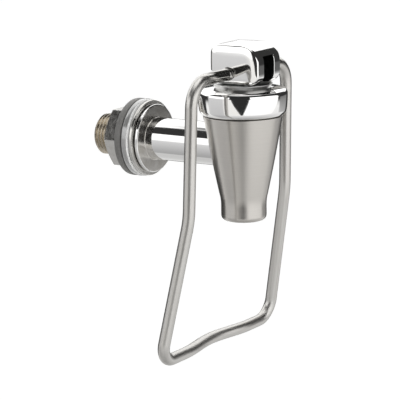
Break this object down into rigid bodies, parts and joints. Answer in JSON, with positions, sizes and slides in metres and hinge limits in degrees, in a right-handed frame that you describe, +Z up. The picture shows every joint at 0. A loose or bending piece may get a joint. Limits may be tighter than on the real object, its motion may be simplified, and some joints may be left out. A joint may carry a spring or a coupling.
{
  "type": "beverage dispenser spigot",
  "caption": "Push-back drink spigot: conical valve body with a polished bonnet and rocking block, a bent wire bail, and a flanged, threaded shank with gaskets and a nut.",
  "frame": {"origin": "on the shank's axis at the container wall, midway between the front and the rear gasket", "axes": "+Y along the shank into the container, +Z up, +X to the right of someone who faces the spout"},
  "size_m": [0.083, 0.0801, 0.1182],
  "materials": {
    "polished_steel": "mirror polished stainless steel",
    "brushed_steel": "stainless steel brushed round its axis",
    "satin_wire": "drawn satin stainless steel wire",
    "stamped_steel": "tumbled stainless steel",
    "turned_steel": "as turned stainless steel",
    "dark_steel": "dark steel of small grub screws",
    "light_gasket": "mid grey silicone, slightly glossy",
    "dark_gasket": "dark grey silicone, satin",
    "seat_rubber": "translucent white silicone"
  },
  "bodies": {
    "root": {"valve_body": "brushed_steel", "bonnet": "polished_steel", "shank": "polished_steel", "front_washer": "stamped_steel", "front_gasket": "light_gasket", "rear_gasket": "dark_gasket", "shank_nut": "stamped_steel", "stem_washer": "turned_steel"},
    "stem": {"stem": "turned_steel", "seat_cup": "seat_rubber", "return_spring": "turned_steel"},
    "lever": {"lever_block": "polished_steel", "wire_bail": "satin_wire", "pivot_pin": "turned_steel", "bail_screw_left": "dark_steel", "bail_screw_right": "dark_steel"}
  },
  "joints": [
    {"name": "stem_lift", "type": "slide", "parent": "root", "child": "stem", "axis": [0, 0, 1], "range_m": [0, 0.0023], "deforming": ["return_spring", "seat_cup"]},
    {"name": "lever_tilt", "type": "hinge", "parent": "stem", "child": "lever", "pos_m": [0, -0.0449, 0.02855], "axis": [1, 0, 0], "range_deg": [0, 15], "stiffness_Nm_per_rad": 0.155, "springref_deg": -44.35}
  ],
  "couplings": [
    {"joint": "stem_lift", "follows": "lever_tilt", "m_per_rad": 0.0084}
  ]
}
